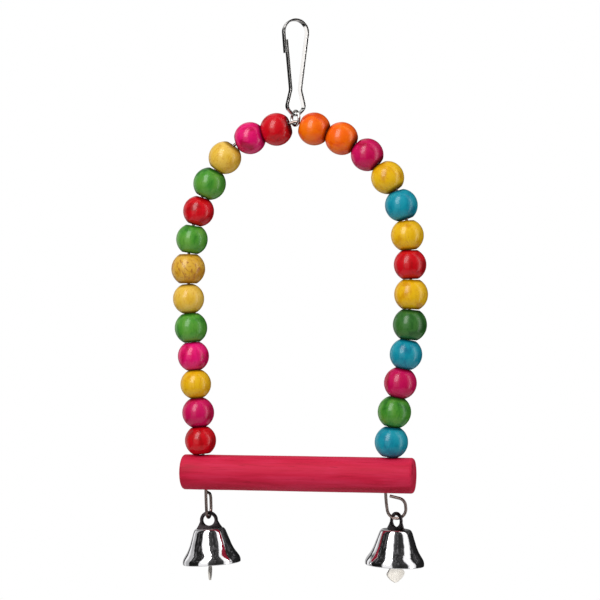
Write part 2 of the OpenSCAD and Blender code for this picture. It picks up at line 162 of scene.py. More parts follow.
def circle(y: float, radius: float, count: int = 48) -> list[Pair]:
    """Points all round a circle whose middle is (0, y)."""
    turns = [2 * math.pi * j / count for j in range(count)]
    return [(radius * math.cos(a), y + radius * math.sin(a)) for a in turns]


@dataclass(frozen=True)
class Bend:
    """A bend of wire or strip and the straight run after it, in millimetres and degrees."""

    radius: float
    turn: float
    run: float = 0.0

    @property
    def arc(self) -> float:
        """Length of the bend itself."""
        return self.radius * math.radians(abs(self.turn))


@dataclass(frozen=True)
class Station:
    """A place on a run and its heading in degrees, where 0 goes along the first axis and 90 goes down."""

    out: float
    up: float
    heading: float

    def beside(self, off: float) -> Pair:
        """The point at a distance to the run's upper side."""
        angle = math.radians(self.heading)
        return self.out + off * math.sin(angle), self.up + off * math.cos(angle)


def along_bend(bend: Bend, distance: float, at: Station) -> Station:
    """Goes along one bend and its straight run.

    Args:
        bend: the bend.
        distance: how far to go.
        at: where the bend starts.

    Returns:
        The station reached.
    """
    bent = min(distance, bend.arc)
    rest = distance - bent
    way = (bend.turn > 0) - (bend.turn < 0)
    start = math.radians(at.heading)
    end = start + (way * bent / bend.radius if bend.radius > 0 else 0.0)
    out = at.out + way * bend.radius * (math.sin(end) - math.sin(start)) + rest * math.cos(end)
    up = at.up + way * bend.radius * (math.cos(end) - math.cos(start)) - rest * math.sin(end)
    return Station(out, up, math.degrees(end))


def run_stations(
    bends: list[Bend], start: Station, turn_step: float = 4.0, run_step: float = 3.0
) -> list[Station]:
    """Even stations along a run, close together in bends.

    Args:
        bends: the bends in order.
        start: where the run starts.
        turn_step: largest turn between two stations.
        run_step: largest length between two stations.

    Returns:
        The stations, the start first.
    """
    found = [start]
    at = start
    for bend in bends:
        if bend.arc > 0:
            count = max(1, math.ceil(abs(bend.turn) / turn_step), math.ceil(bend.arc / run_step))
            found += [along_bend(bend, bend.arc * j / count, at) for j in range(1, count + 1)]
        if bend.run > 0:
            count = max(1, math.ceil(bend.run / run_step))
            found += [along_bend(bend, bend.arc + bend.run * j / count, at) for j in range(1, count + 1)]
        at = along_bend(bend, bend.arc + bend.run, at)
    return found


# Node trees


@dataclass(frozen=True)
class Pattern:
    """A noise: how it is scaled along each axis, its own scale, its octaves and its distortion."""

    stretch: Triple
    scale: float
    detail: float = 4.0
    twist: float = 0.0


class Nodes:
    """A node tree, with short calls for the nodes that shapes and finishes share."""

    def __init__(self, tree: bpy.types.NodeTree) -> None:
        """Takes the tree to add to."""
        self.tree = tree

    def feed(self, node: Node, inputs: Inputs) -> None:
        """Fills a node's inputs.

        Args:
            node: the node.
            inputs: the socket to link or the value to set, by input name or number.
        """
        for key, value in inputs.items():
            if isinstance(value, bpy.types.NodeSocket):
                self.tree.links.new(value, node.inputs[key])
            else:
                node.inputs[key].default_value = value

    def add(self, kind: str, inputs: Inputs | None = None, output: str | int = 0, **values: object) -> Socket:
        """Adds a node.

        Args:
            kind: the node's type name.
            inputs: what goes into it.
            output: which of its outputs is wanted, by name or number.
            **values: its attributes.

        Returns:
            The output.
        """
        node = self.tree.nodes.new(kind)
        for name, value in values.items():
            setattr(node, name, value)
        self.feed(node, inputs or {})
        return node.outputs[output]

    def math(self, operation: str, *values: Socket | float) -> Socket:
        """The result of a sum on one or two values."""
        return self.add("ShaderNodeMath", dict(enumerate(values)), operation=operation)

    def noise(self, where: Socket, pattern: Pattern) -> Socket:
        """A pattern's noise, from 0 to 1, on a coordinate."""
        mapped = self.add("ShaderNodeMapping", {"Vector": where, "Scale": pattern.stretch})
        return self.add("ShaderNodeTexNoise", {
            "Vector": mapped, "Scale": pattern.scale, "Detail": pattern.detail, "Distortion": pattern.twist})

    def fade(self, value: Socket, low: float, high: float, to_low: float, to_high: float) -> Socket:
        """Maps a value from one range to another, smoothly and clamped."""
        inputs = {"Value": value, "From Min": low, "From Max": high, "To Min": to_low, "To Max": to_high}
        return self.add("ShaderNodeMapRange", inputs, interpolation_type="SMOOTHSTEP")

    def mix(self, share: Socket, first: Shade, second: Shade, blend: str = "MIX") -> Socket:
        """The mix of two colours by the share of the second, on the node's sockets for colours."""
        inputs = {0: share, 6: first, 7: second}
        return self.add("ShaderNodeMix", inputs, 2, data_type="RGBA", blend_type=blend)

    def tint(self, colour: Shade, over: Shade, mask: Socket, low: float, high: float, share: float) -> Socket:
        """Lets a second colour in as a mask goes from low to high, up to a share of it."""
        return self.mix(self.fade(mask, low, high, 0.0, share), colour, over)

    def bump(self, height: Socket, depth: float, strength: float = 1.0) -> Socket:
        """A bump of a depth in millimetres from a 0 to 1 height."""
        inputs = {"Height": height, "Distance": depth * MM, "Strength": strength}
        return self.add("ShaderNodeBump", inputs)

    def ramp(self, share: Socket, stops: list[tuple[float, Colour]]) -> Socket:
        """A colour ramp.

        Args:
            share: the place on the ramp.
            stops: (place, colour) of each stop, in order.

        Returns:
            The colour.
        """
        ramp = self.tree.nodes.new("ShaderNodeValToRGB")
        self.feed(ramp, {"Fac": share})
        elements = ramp.color_ramp.elements
        while len(elements) < len(stops):
            elements.new(0.5)
        for element, (spot, colour) in zip(elements, stops):
            element.position = spot
            element.color = colour
        return ramp.outputs["Color"]


class ShapeTree(Nodes):
    """A Geometry Nodes tree with named inputs, run on one outline at a time."""

    def __init__(self, name: str, inputs: dict[str, tuple[str, object]]) -> None:
        """Starts the tree.

        Args:
            name: the tree's name.
            inputs: socket type and default value by input name.
        """
        super().__init__(bpy.data.node_groups.new(name, "GeometryNodeTree"))
        face = self.tree.interface
        face.new_socket("Geometry", in_out="INPUT", socket_type="NodeSocketGeometry")
        self.keys: dict[str, str] = {}
        for title, (kind, default) in (inputs | {"Material": ("Material", None)}).items():
            socket = face.new_socket(title, in_out="INPUT", socket_type=f"NodeSocket{kind}")
            if default is not None:
                socket.default_value = default
            self.keys[title] = socket.identifier
        face.new_socket("Geometry", in_out="OUTPUT", socket_type="NodeSocketGeometry")
        self.given = self.tree.nodes.new("NodeGroupInput").outputs
        smooth = self.add("GeometryNodeSetShadeSmooth", {"Geometry": self.shape()})
        finish = self.add("GeometryNodeSetMaterial", {"Geometry": smooth, "Material": self.given["Material"]})
        real = self.add("GeometryNodeRealizeInstances", {"Geometry": finish})
        self.feed(self.tree.nodes.new("NodeGroupOutput"), {"Geometry": real})

    def shape(self) -> Socket:
        """Adds the tree's own nodes and gives the geometry that they end with."""
        raise NotImplementedError

    def make(self, name: str, line: list[Vector], closed: bool, **values: object) -> Piece:
        """Runs the tree on a line of points and keeps the result as a plain mesh.

        Args:
            name: the piece's name.
            line: the points of the outline or path, in metres.
            closed: whether the last point joins the first.
            **values: inputs by name, with _ for a space.

        Returns:
            The object, at the origin, with no modifier.
        """
        edges = [(i, i + 1) for i in range(len(line) - 1)] + ([(len(line) - 1, 0)] if closed else [])
        piece = from_points(name, [tuple(p) for p in line], edges, [])
        modifier = piece.modifiers.new("shape", "NODES")
        modifier.node_group = self.tree
        for title, value in values.items():
            modifier[self.keys[title.replace("_", " ")]] = value
        bake(piece)
        outward(piece)
        return piece


class LatheTree(ShapeTree):
    """Turns an outline round the Z axis, as a lathe does, and leaves the surface slightly uneven."""

    seam_reach = 2e-6

    def __init__(self) -> None:
        """Builds the tree."""
        super().__init__("turned_on_a_lathe", {
            "Path Radius": ("Float", 0.01), "Segments": ("Int", 64), "Unevenness": ("Float", 0.0),
            "Wave Scale": ("Float", 100.0), "Seed": ("Float", 0.0)})

    def shape(self) -> Socket:
        """Sweeps the outline round, welds the seam and moves the points by a noise.

        Returns:
            The moved surface.
        """
        given = self.given
        outline = self.add("GeometryNodeMeshToCurve", {"Mesh": given["Geometry"]})
        ring = {"Resolution": given["Segments"], "Radius": given["Path Radius"]}
        path = self.add("GeometryNodeCurvePrimitiveCircle", ring, mode="RADIUS")
        sweep = self.add("GeometryNodeCurveToMesh", {"Curve": path, "Profile Curve": outline})
        welded = self.add("GeometryNodeMergeByDistance", {"Geometry": sweep, "Distance": self.seam_reach})
        place = self.add("GeometryNodeInputPosition")
        waves = {"Vector": place, "W": given["Seed"], "Scale": given["Wave Scale"], "Detail": 1.0}
        centred = self.math("SUBTRACT", self.add("ShaderNodeTexNoise", waves, noise_dimensions="4D"), 0.5)
        amount = self.math("MULTIPLY", centred, given["Unevenness"])
        push = {"Vector": self.add("GeometryNodeInputNormal"), "Scale": amount}
        offset = self.add("ShaderNodeVectorMath", push, operation="SCALE")
        return self.add("GeometryNodeSetPosition", {"Geometry": welded, "Offset": offset})

    def turn(
        self, name: str, outline: list[Pair], closed: bool, finish: Material,
        segments: int = 64, uneven: float = 0.0, waves: float = 100.0, seed: float = 0.0,
    ) -> Piece:
        """Turns a half section round Z.

        Args:
            name: the piece's name.
            outline: (radius, height) points in millimetres.
            closed: whether the outline joins up, as round a bore.
            finish: the material.
            segments: pieces round the axis.
            uneven: height of the surface's unevenness in millimetres.
            waves: scale of the unevenness.
            seed: start of its pattern.

        Returns:
            The turned piece.
        """
        reach = max(r for r, _ in outline)
        line = [Vector(((r - reach) * MM, -h * MM, 0.0)) for r, h in outline]
        return self.make(
            name, line, closed, Path_Radius=reach * MM, Segments=segments,
            Unevenness=uneven * MM, Wave_Scale=waves, Seed=seed, Material=finish)


class WireTree(ShapeTree):
    """Draws round wire along a path, with square cut ends."""

    sides = 24

    def __init__(self) -> None:
        """Builds the tree."""
        super().__init__("drawn_wire", {"Wire Radius": ("Float", 0.001), "Sides": ("Int", self.sides)})

    def shape(self) -> Socket:
        """Sweeps a circle along the path.

        Returns:
            The wire.
        """
        given = self.given
        path = self.add("GeometryNodeMeshToCurve", {"Mesh": given["Geometry"]})
        ring = {"Resolution": given["Sides"], "Radius": given["Wire Radius"]}
        section = self.add("GeometryNodeCurvePrimitiveCircle", ring, mode="RADIUS")
        drawn = {"Curve": path, "Profile Curve": section, "Fill Caps": True}
        return self.add("GeometryNodeCurveToMesh", drawn)

    def draw(self, name: str, path: list[Vector], radius: float, finish: Material) -> Piece:
        """Draws wire of a radius along a path, both in millimetres."""
        line = [p * MM for p in path]
        return self.make(name, line, False, Wire_Radius=radius * MM, Sides=self.sides, Material=finish)


# Mesh helpers


def set_out(name: str, data: bpy.types.ID) -> Piece:
    """Puts data in the scene as an object.

    Args:
        name: the object's name.
        data: its mesh, curve, lamp or camera.

    Returns:
        The object, at the origin.
    """
    piece = bpy.data.objects.new(name, data)
    bpy.context.scene.collection.objects.link(piece)
    return piece


def from_points(name: str, points: list[Triple], edges: list[tuple], faces: list[tuple]) -> Piece:
    """Makes a mesh object.

    Args:
        name: its name.
        points: its points, in metres.
        edges: the two points of each edge, by number.
        faces: the points round each face, by number.

    Returns:
        The object, at the origin.
    """
    mesh = bpy.data.meshes.new(name)
    mesh.from_pydata(points, edges, faces)
    return set_out(name, mesh)


def evaluated(piece: Piece, **options: object) -> bpy.types.Mesh:
    """A plain mesh of what an object's modifiers or curve settings make.

    Args:
        piece: the object.
        **options: further options of the conversion.

    Returns:
        The mesh.
    """
    bpy.context.view_layer.update()
    graph = bpy.context.evaluated_depsgraph_get()
    return bpy.data.meshes.new_from_object(piece.evaluated_get(graph), depsgraph=graph, **options)


def bake(piece: Piece) -> None:
    """Replaces an object's mesh with what its modifiers make of it, and removes them.

    Args:
        piece: the object.
    """
    mesh = evaluated(piece, preserve_all_data_layers=True)
    piece.modifiers.clear()
    mesh.name = piece.name
    piece.data = mesh


def outward(piece: Piece) -> None:
    """Points a closed mesh's faces outwards, by the sign of the volume that it holds.

    Args:
        piece: the piece.
    """
    mesh = piece.data
    mesh.calc_loop_triangles()
    spots = [v.co for v in mesh.vertices]
    volume = 0.0
    for tri in mesh.loop_triangles:
        a, b, c = (spots[i] for i in tri.vertices)
        volume += a.dot(b.cross(c))
    if volume < 0:
        mesh.flip_normals()


def crisp(piece: Piece, degrees: float = 38.0) -> None:
    """Shades a piece smooth, with sharp edges past an angle."""
    piece.data.shade_smooth()
    piece.data.set_sharp_from_angle(angle=math.radians(degrees))


def solid_sweep(name: str, stations: list[Station], section: list[Pair], finish: Material) -> Piece:
    """Sweeps a closed section along a run in the X-Z plane, for strip.

    Args:
        name: the piece's name.
        stations: the run, in millimetres.
        section: (off, across) points of the section, in millimetres.
        finish: the material.

    Returns:
        The strip, with closed ends.
    """
    points: list[Triple] = []
    for station in stations:
        for off, across in section:
            x, z = station.beside(off)
            points.append((x * MM, across * MM, z * MM))
    n = len(section)
    faces: list[tuple[int, ...]] = [tuple(range(n)), tuple(reversed(range(len(points) - n, len(points))))]
    for i in range(len(stations) - 1):
        for j in range(n):
            a, b = i * n + j, i * n + (j + 1) % n
            faces.append((a, a + n, b + n, b))
    piece = from_points(name, points, [], faces)
    piece.data.materials.append(finish)
    outward(piece)
    crisp(piece)
    return piece


def stamped(name: str, outlines: list[list[Pair]], thick: float, edge: float, finish: Material) -> Piece:
    """Stamps a flat plate with holes and slightly rounded edges, in the X-Z plane.

    Args:
        name: the piece's name.
        outlines: the outer outline first, then each hole, in millimetres.
        thick: the plate's thickness.
        edge: the rounding of its edges.
        finish: the material.

    Returns:
        The plate as a mesh.
    """
    curve = bpy.data.curves.new(name, "CURVE")
    curve.dimensions = "2D"
    curve.fill_mode = "BOTH"
    curve.extrude = (thick / 2 - edge) * MM
    curve.bevel_depth = edge * MM
    curve.bevel_resolution = 2
    curve.offset = -edge * MM
    for outline in outlines:
        spline = curve.splines.new("POLY")
        spline.points.add(len(outline) - 1)
        spline.use_cyclic_u = True
        for point, (x, z) in zip(spline.points, outline):
            point.co = (x * MM, z * MM, 0.0, 1.0)
    draft = set_out(name + "_draft", curve)
    mesh = evaluated(draft)
    bpy.data.objects.remove(draft)
    bpy.data.curves.remove(curve)
    mesh.name = name
    mesh.materials.clear()
    mesh.materials.append(finish)
    piece = set_out(name, mesh)
    weld(piece, reach=0.004)
    piece.data.transform(Matrix.Rotation(math.pi / 2, 4, "X"))
    outward(piece)
    crisp(piece)
    return piece


def weld(piece: Piece, reach: float) -> None:
    """Merges points closer than a distance.

    Args:
        piece: the piece.
        reach: the distance, in millimetres.
    """
    modifier = piece.modifiers.new("weld", "WELD")
    modifier.merge_threshold = reach * MM
    bake(piece)


def cut_away(piece: Piece, cutter: Piece) -> None:
    """Cuts one closed mesh out of another and removes the cutter.

    Args:
        piece: the piece that is cut.
        cutter: the shape to take out of it.
    """
    modifier = piece.modifiers.new("cut", "BOOLEAN")
    modifier.operation = "DIFFERENCE"
    modifier.solver = "EXACT"
    modifier.object = cutter
    bake(piece)
    bpy.data.objects.remove(cutter)


def mark_grain(piece: Piece, seed: float, tone: float = 0.0) -> None:
    """Keeps each point's place on the bench, before it is set in place, for the wood's grain.

    Args:
        piece: the piece, still on its own axis.
        seed: shift that gives this piece its own bit of grain.
        tone: how much lighter or darker the dye took on it.
    """
    mesh = piece.data
    move = GRAIN_STEP * seed
    spots = [v.co.copy() for v in mesh.vertices]
    for name, kind, key, rows in (
        ("turned", "FLOAT_VECTOR", "vector", spots),
        ("grain", "FLOAT_VECTOR", "vector", [spot + move for spot in spots]),
        ("tone", "FLOAT", "value", [(tone,)] * len(spots)),
    ):
        layer = mesh.attributes.new(name, kind, "POINT")
        layer.data.foreach_set(key, [v for row in rows for v in row])


def settle(piece: Piece, place: Matrix, body: str, node: str) -> None:
    """Puts a finished mesh in its place and ties it to its body and node.

    Args:
        piece: the piece, still on its own axis.
        place: where it goes, in metres.
        body: the body that it rides on.
        node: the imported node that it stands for.
    """
    piece.data.transform(place)
    piece.data.update()
    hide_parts(node)
    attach(piece, body)
    LOG.info("%s: %d points, rides on %s", piece.name, len(piece.data.vertices), body)


# Finishes


def light_value(channel: float) -> float:
    """Turns one 0 to 255 screen value into the light value that a shader takes."""
    share = channel / 255
    return share / 12.92 if share <= 0.04045 else ((share + 0.055) / 1.055) ** 2.4


def paint(screen: Triple, shade: float = 1.0) -> Colour:
    """A shader colour from 0 to 255 screen values, darkened by a factor."""
    return (*(shade * light_value(channel) for channel in screen), 1.0)


class SurfaceTree(Nodes):
    """A new material's node tree."""

    def __init__(self, name: str) -> None:
        """Starts a material of that name."""
        self.material = bpy.data.materials.new(name)
        self.material.use_nodes = True
        super().__init__(self.material.node_tree)

    def read(self, name: str, output: str = "Vector") -> Socket:
        """A value that the mesh keeps at its points."""
        return self.add("ShaderNodeAttribute", output=output, attribute_name=name)

    def object_place(self) -> Socket:
        """The place on the object."""
        return self.add("ShaderNodeTexCoord", output="Object")

    def finish(self, inputs: Inputs) -> Material:
        """Fills the surface shader's inputs and gives the finished material."""
        self.feed(self.tree.nodes["Principled BSDF"], inputs)
        return self.material


@dataclass(frozen=True)
class LacqueredWood:
    """Dyed, turned wood under a gloss lacquer.

    The grain runs along the bore. The dye took unevenly, pools in patches and goes thin on the ridges. Near
    each end the colour is darkened as painted shadow where the beads touch. A tint is (low, high, share): its
    colour comes in as the noise goes from low to high, up to that share.
    A band is the height above the bead's middle where a change starts and ends.
    """

    name: str
    dye: Triple
    deep: Triple
    thin: Triple
    mottle: float = 0.0
    mottle_dye: Triple = (150, 92, 40)
    gloss: float = 0.65
    bare_gloss: float = 0.04
    gloss_band: Pair = (5.1, 5.8)
    # Painted contact shadow: over this band near each end the colour darkens towards a dimmed pool colour.
    contact_shadow_band: Pair = (4.9, 6.0)
    contact_shadow_dim: float = 0.35
    contact_shadow_share: float = 0.8
    roughness: Pair = (0.30, 0.42)
    thin_tint: Triple = (0.42, 0.68, 0.85)
    pool_tint: Triple = (0.48, 0.30, 0.8)
    line_tint: Triple = (0.52, 0.75, 0.45)
    line_range: Pair = (0.3, 0.7)
    vein_start: Pair = (0.60, 0.10)
    vein_full: float = 0.66
    vein_share: Pair = (0.5, 0.25)
    clouds: Pattern = Pattern((1.0, 1.0, 0.7), 190.0, 3.0, 0.4)
    lines: Pattern = Pattern((1.0, 1.0, 0.12), 1300.0, 5.0, 0.3)
    veins: Pattern = Pattern((1.0, 1.0, 0.45), 430.0, 9.0, 2.4)

    def veined(self, tree: SurfaceTree, colour: Socket, grain: Socket) -> Socket:
        """Adds the mottle's veins, which widen and deepen with the amount of mottle.

        Args:
            tree: the material's tree.
            colour: the colour so far.
            grain: the coordinate along the grain.

        Returns:
            The veined colour.
        """
        start = self.vein_start[0] - self.vein_start[1] * self.mottle
        share = self.vein_share[0] + self.vein_share[1] * self.mottle
        veins = tree.noise(grain, self.veins)
        return tree.tint(colour, paint(self.mottle_dye), veins, start, self.vein_full, share)

    def make(self) -> Material:
        """Builds the material.

        Returns:
            The material.
        """
        tree = SurfaceTree(self.name)
        grain, deep = tree.read("grain"), paint(self.deep)
        clouds, lines = tree.noise(grain, self.clouds), tree.noise(grain, self.lines)
        colour = tree.tint(paint(self.dye), paint(self.thin), clouds, *self.thin_tint)
        colour = tree.tint(colour, deep, clouds, *self.pool_tint)
        colour = tree.tint(colour, deep, lines, *self.line_tint)
        if self.mottle > 0:
            colour = self.veined(tree, colour, grain)
        colour = tree.mix(tree.read("tone", "Fac"), colour, deep)
        height = tree.add("ShaderNodeSeparateXYZ", {"Vector": tree.read("turned")}, "Z")
        reach = tree.math("ABSOLUTE", height)
        # Painted shadow where the beads touch: the colour darkens over the band near each end.
        shadow_low, shadow_high = (z * MM for z in self.contact_shadow_band)
        gloss_low, gloss_high = (z * MM for z in self.gloss_band)
        contact_shadow_colour = paint(self.deep, self.contact_shadow_dim)
        return tree.finish({
            "Base Color": tree.tint(colour, contact_shadow_colour, reach, shadow_low, shadow_high, self.contact_shadow_share),
            "Roughness": tree.fade(lines, *self.line_range, *self.roughness),
            "Coat Weight": tree.fade(reach, gloss_low, gloss_high, self.gloss, self.bare_gloss),
            "Normal": tree.bump(lines, depth=0.03, strength=0.6),
            "Coat Normal": tree.bump(clouds, depth=0.05, strength=0.5),
            "Specular IOR Level": 0.12,
            "Coat Roughness": 0.17,
            "Coat IOR": 1.42,
        })


@dataclass(frozen=True)
class DyedDowel:
    """Raspberry dye soaked into a bare dowel, with the grain's lines along it and tints as on the beads."""

    name: str = "raspberry_dowel"
    dye: Triple = (206, 30, 66)
    deep: Triple = (176, 18, 48)
    pale: Triple = (214, 48, 84)
    fleck: Triple = (150, 10, 38)
    roughness: Pair = (0.50, 0.66)
    pale_tint: Triple = (0.45, 0.70, 0.8)
    deep_tint: Triple = (0.50, 0.30, 0.7)
    fibre_tint: Triple = (0.50, 0.72, 0.5)
    fleck_tint: Triple = (0.66, 0.74, 0.35)
    band_range: Pair = (0.3, 0.7)
    bands: Pattern = Pattern((0.10, 1.0, 1.0), 330.0, 4.0, 0.5)
    fibres: Pattern = Pattern((0.035, 1.0, 1.0), 2300.0, 5.0, 0.2)
    flecks: Pattern = Pattern((0.16, 1.0, 1.0), 1100.0, 3.0)

    def make(self) -> Material:
        """Builds the material.

        Returns:
            The material.
        """
        tree = SurfaceTree(self.name)
        where = tree.object_place()
        bands, fibres = tree.noise(where, self.bands), tree.noise(where, self.fibres)
        colour = tree.tint(paint(self.dye), paint(self.pale), bands, *self.pale_tint)
        colour = tree.tint(colour, paint(self.deep), bands, *self.deep_tint)
        colour = tree.tint(colour, paint(self.deep), fibres, *self.fibre_tint)
        colour = tree.tint(colour, paint(self.fleck), tree.noise(where, self.flecks), *self.fleck_tint)
        return tree.finish({
            "Base Color": colour,
            "Roughness": tree.fade(bands, *self.band_range, *self.roughness),
            "Normal": tree.bump(fibres, depth=0.06, strength=0.8),
            "Specular IOR Level": 0.15,
        })


@dataclass(frozen=True)
class PlatedSteel:
    """Plated steel: a bright, faintly clouded surface with small dents.

    Dents are their depth in millimetres and the scale of their noise. The haze is what scuffs add to the
    roughness.
    """

    name: str
    bright: Triple
    dull: Triple
    rough: float
    dents: Pair
    haze: float = 0.08
    dull_tint: Triple = (0.45, 0.75, 0.7)
    scuff_range: Pair = (0.45, 0.80)
    clouds: Pattern = Pattern(EVEN, 260.0, 4.0, 0.6)
    scuffs: Pattern = Pattern((1.0, 1.0, 0.2), 2600.0)

    def make(self) -> Material:
        """Builds the material.

        Returns:
            The material.
        """
        tree = SurfaceTree(self.name)
        where = tree.object_place()
        depth, scale = self.dents
        clouds, scuffs = tree.noise(where, self.clouds), tree.noise(where, self.scuffs)
        return tree.finish({
            "Base Color": tree.tint(paint(self.bright), paint(self.dull), clouds, *self.dull_tint),
            "Roughness": tree.fade(scuffs, *self.scuff_range, self.rough, self.rough + self.haze),
            "Normal": tree.bump(tree.noise(where, Pattern(EVEN, scale, detail=2.0)), depth),
            "Metallic": 1.0,
        })


class Dye(Enum):
    """The colours of the beads: the dye, where it pools, where it is thin, and any mottle."""

    RED = LacqueredWood("bead_red", (208, 3, 20), (152, 0, 10), (218, 14, 34))
    PINK = LacqueredWood("bead_pink", (224, 5, 102), (158, 0, 40), (236, 26, 120))
    YELLOW = LacqueredWood("bead_yellow", (236, 182, 8), (208, 142, 2), (240, 192, 30), 0.08, (204, 136, 16))
    PALE_YELLOW = LacqueredWood(
        "bead_pale_yellow", (232, 186, 58), (208, 150, 26), (236, 196, 88), 0.35, (204, 142, 40))
    SPECKLED = LacqueredWood(
        "bead_speckled", (220, 168, 44), (196, 134, 24), (226, 180, 74), 1.0, (164, 96, 40))
    GREEN = LacqueredWood("bead_green", (74, 150, 46), (30, 102, 24), (104, 164, 62))
    DARK_GREEN = LacqueredWood("bead_dark_green", (50, 108, 42), (24, 74, 24), (68, 120, 52))
    TEAL = LacqueredWood("bead_teal", (12, 146, 168), (4, 108, 138), (36, 158, 176))
    ORANGE = LacqueredWood("bead_orange", (248, 98, 0), (216, 64, 0), (252, 120, 4))


class Plate(Enum):
    """The finishes of the metal pieces."""

    STRIP = PlatedSteel("spring_strip", (236, 233, 230), (214, 210, 207), 0.07, (0.001, 500.0), 0.04)
    RING = PlatedSteel("ring_wire", (210, 208, 205), (180, 176, 172), 0.10, (0.02, 700.0))
    WIRE = PlatedSteel("frame_wire", (136, 120, 114), (98, 84, 80), 0.24, (0.03, 900.0), 0.12)
    BELL = PlatedSteel("bell_shell", (228, 227, 229), (208, 207, 210), 0.06, (0.06, 300.0), 0.05)
    HANGER = PlatedSteel("bell_hanger", (66, 59, 61), (42, 38, 40), 0.22, (0.04, 420.0))
    CLAPPER = PlatedSteel("bell_clapper", (244, 239, 231), (230, 223, 212), 0.50, (0.004, 450.0))


Finishes = dict[Enum, Material]


# Sub-assemblies


@dataclass
class BeadString:
    """Thirteen turned beads on one half of the wire, from the perch to the top.

    The swell is what each end stands out, so that the beads close up. The top bead is drawn in by as much
    instead, clear of the ring. Seeds differ along a string and between the two strings.
    """

    side: str
    dyes: tuple[Dye, ...]
    tones: tuple[float, ...]
    first_seed: float
    rim_round: float = 0.14
    bore_r: float = 1.5
    bore_round: float = 0.2
    swell: float = 0.045
    uneven: float = 0.10
    waves: float = 150.0
    segments: int = 64
    ball_steps: int = 30
    seed_step: float = 1.7
    spin_per_seed: float = 2.4
    sharp_past: float = 50.0

    def outline(self, radius: float, length: float, swell: float) -> list[Pair]:
        """Half section of a bead, closed round its bore.

        Args:
            radius: the ball's radius.
            length: the bead's length along the bore.
            swell: what each end stands out.

        Returns:
            (radius, height) points, in millimetres.
        """
        half = length / 2 + swell
        lean = math.asin(half / radius)
        turns = [lean * (1 - 2 * j / self.ball_steps) for j in range(1, self.ball_steps)]
        ball = [(radius * math.cos(turn), radius * math.sin(turn), 0.0) for turn in turns]
        rim = math.sqrt(radius**2 - half**2)
        return rounded([
            (self.bore_r, half, self.bore_round), (rim, half, self.rim_round), *ball,
            (rim, -half, self.rim_round), (self.bore_r, -half, self.bore_round)])

    def build(self, lathe: LatheTree, finishes: Finishes, joints: Joints) -> None:
        """Turns each bead and threads it where its joint is.

        Args:
            lathe: the lathe.
            finishes: the materials.
            joints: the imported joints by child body.
        """
        for i, dye in enumerate(self.dyes):
            name = f"bead_{self.side}_{i + 1:02d}"
            centre = Vector(joints[name]["pos_m"])
            axis = Vector(joints[name]["axis"]).normalized()
            radius, length = self.measure(name, centre, axis)
            swell = self.swell if i + 1 < len(self.dyes) else -self.swell
            seed = i * self.seed_step + self.first_seed
            piece = lathe.turn(
                f"turned_{name}", self.outline(radius, length, swell), True, finishes[dye],
                self.segments, self.uneven, self.waves, seed)
            crisp(piece, self.sharp_past)
            mark_grain(piece, seed, self.tones[i])
            turn = Vector((0.0, 0.0, 1.0)).rotation_difference(axis).to_matrix().to_4x4()
            spin = Matrix.Rotation(seed * self.spin_per_seed, 4, "Z")
            settle(piece, Matrix.Translation(centre) @ turn @ spin, name, name)

    @staticmethod
    def measure(name: str, centre: Vector, axis: Vector) -> Pair:
        """Measures a packed bead.

        Args:
            name: the bead's node.
            centre: its centre.
            axis: its bore's direction.

        Returns:
            Its radius and its length, in millimetres.
        """
        far = 0.0
        tall = 0.0
        for vertex in bpy.data.objects[name].data.vertices:
            rise = (vertex.co - centre).dot(axis)
            tall = max(tall, abs(rise))
            far = max(far, (vertex.co - centre - axis * rise).length)
        return far / MM, 2 * tall / MM


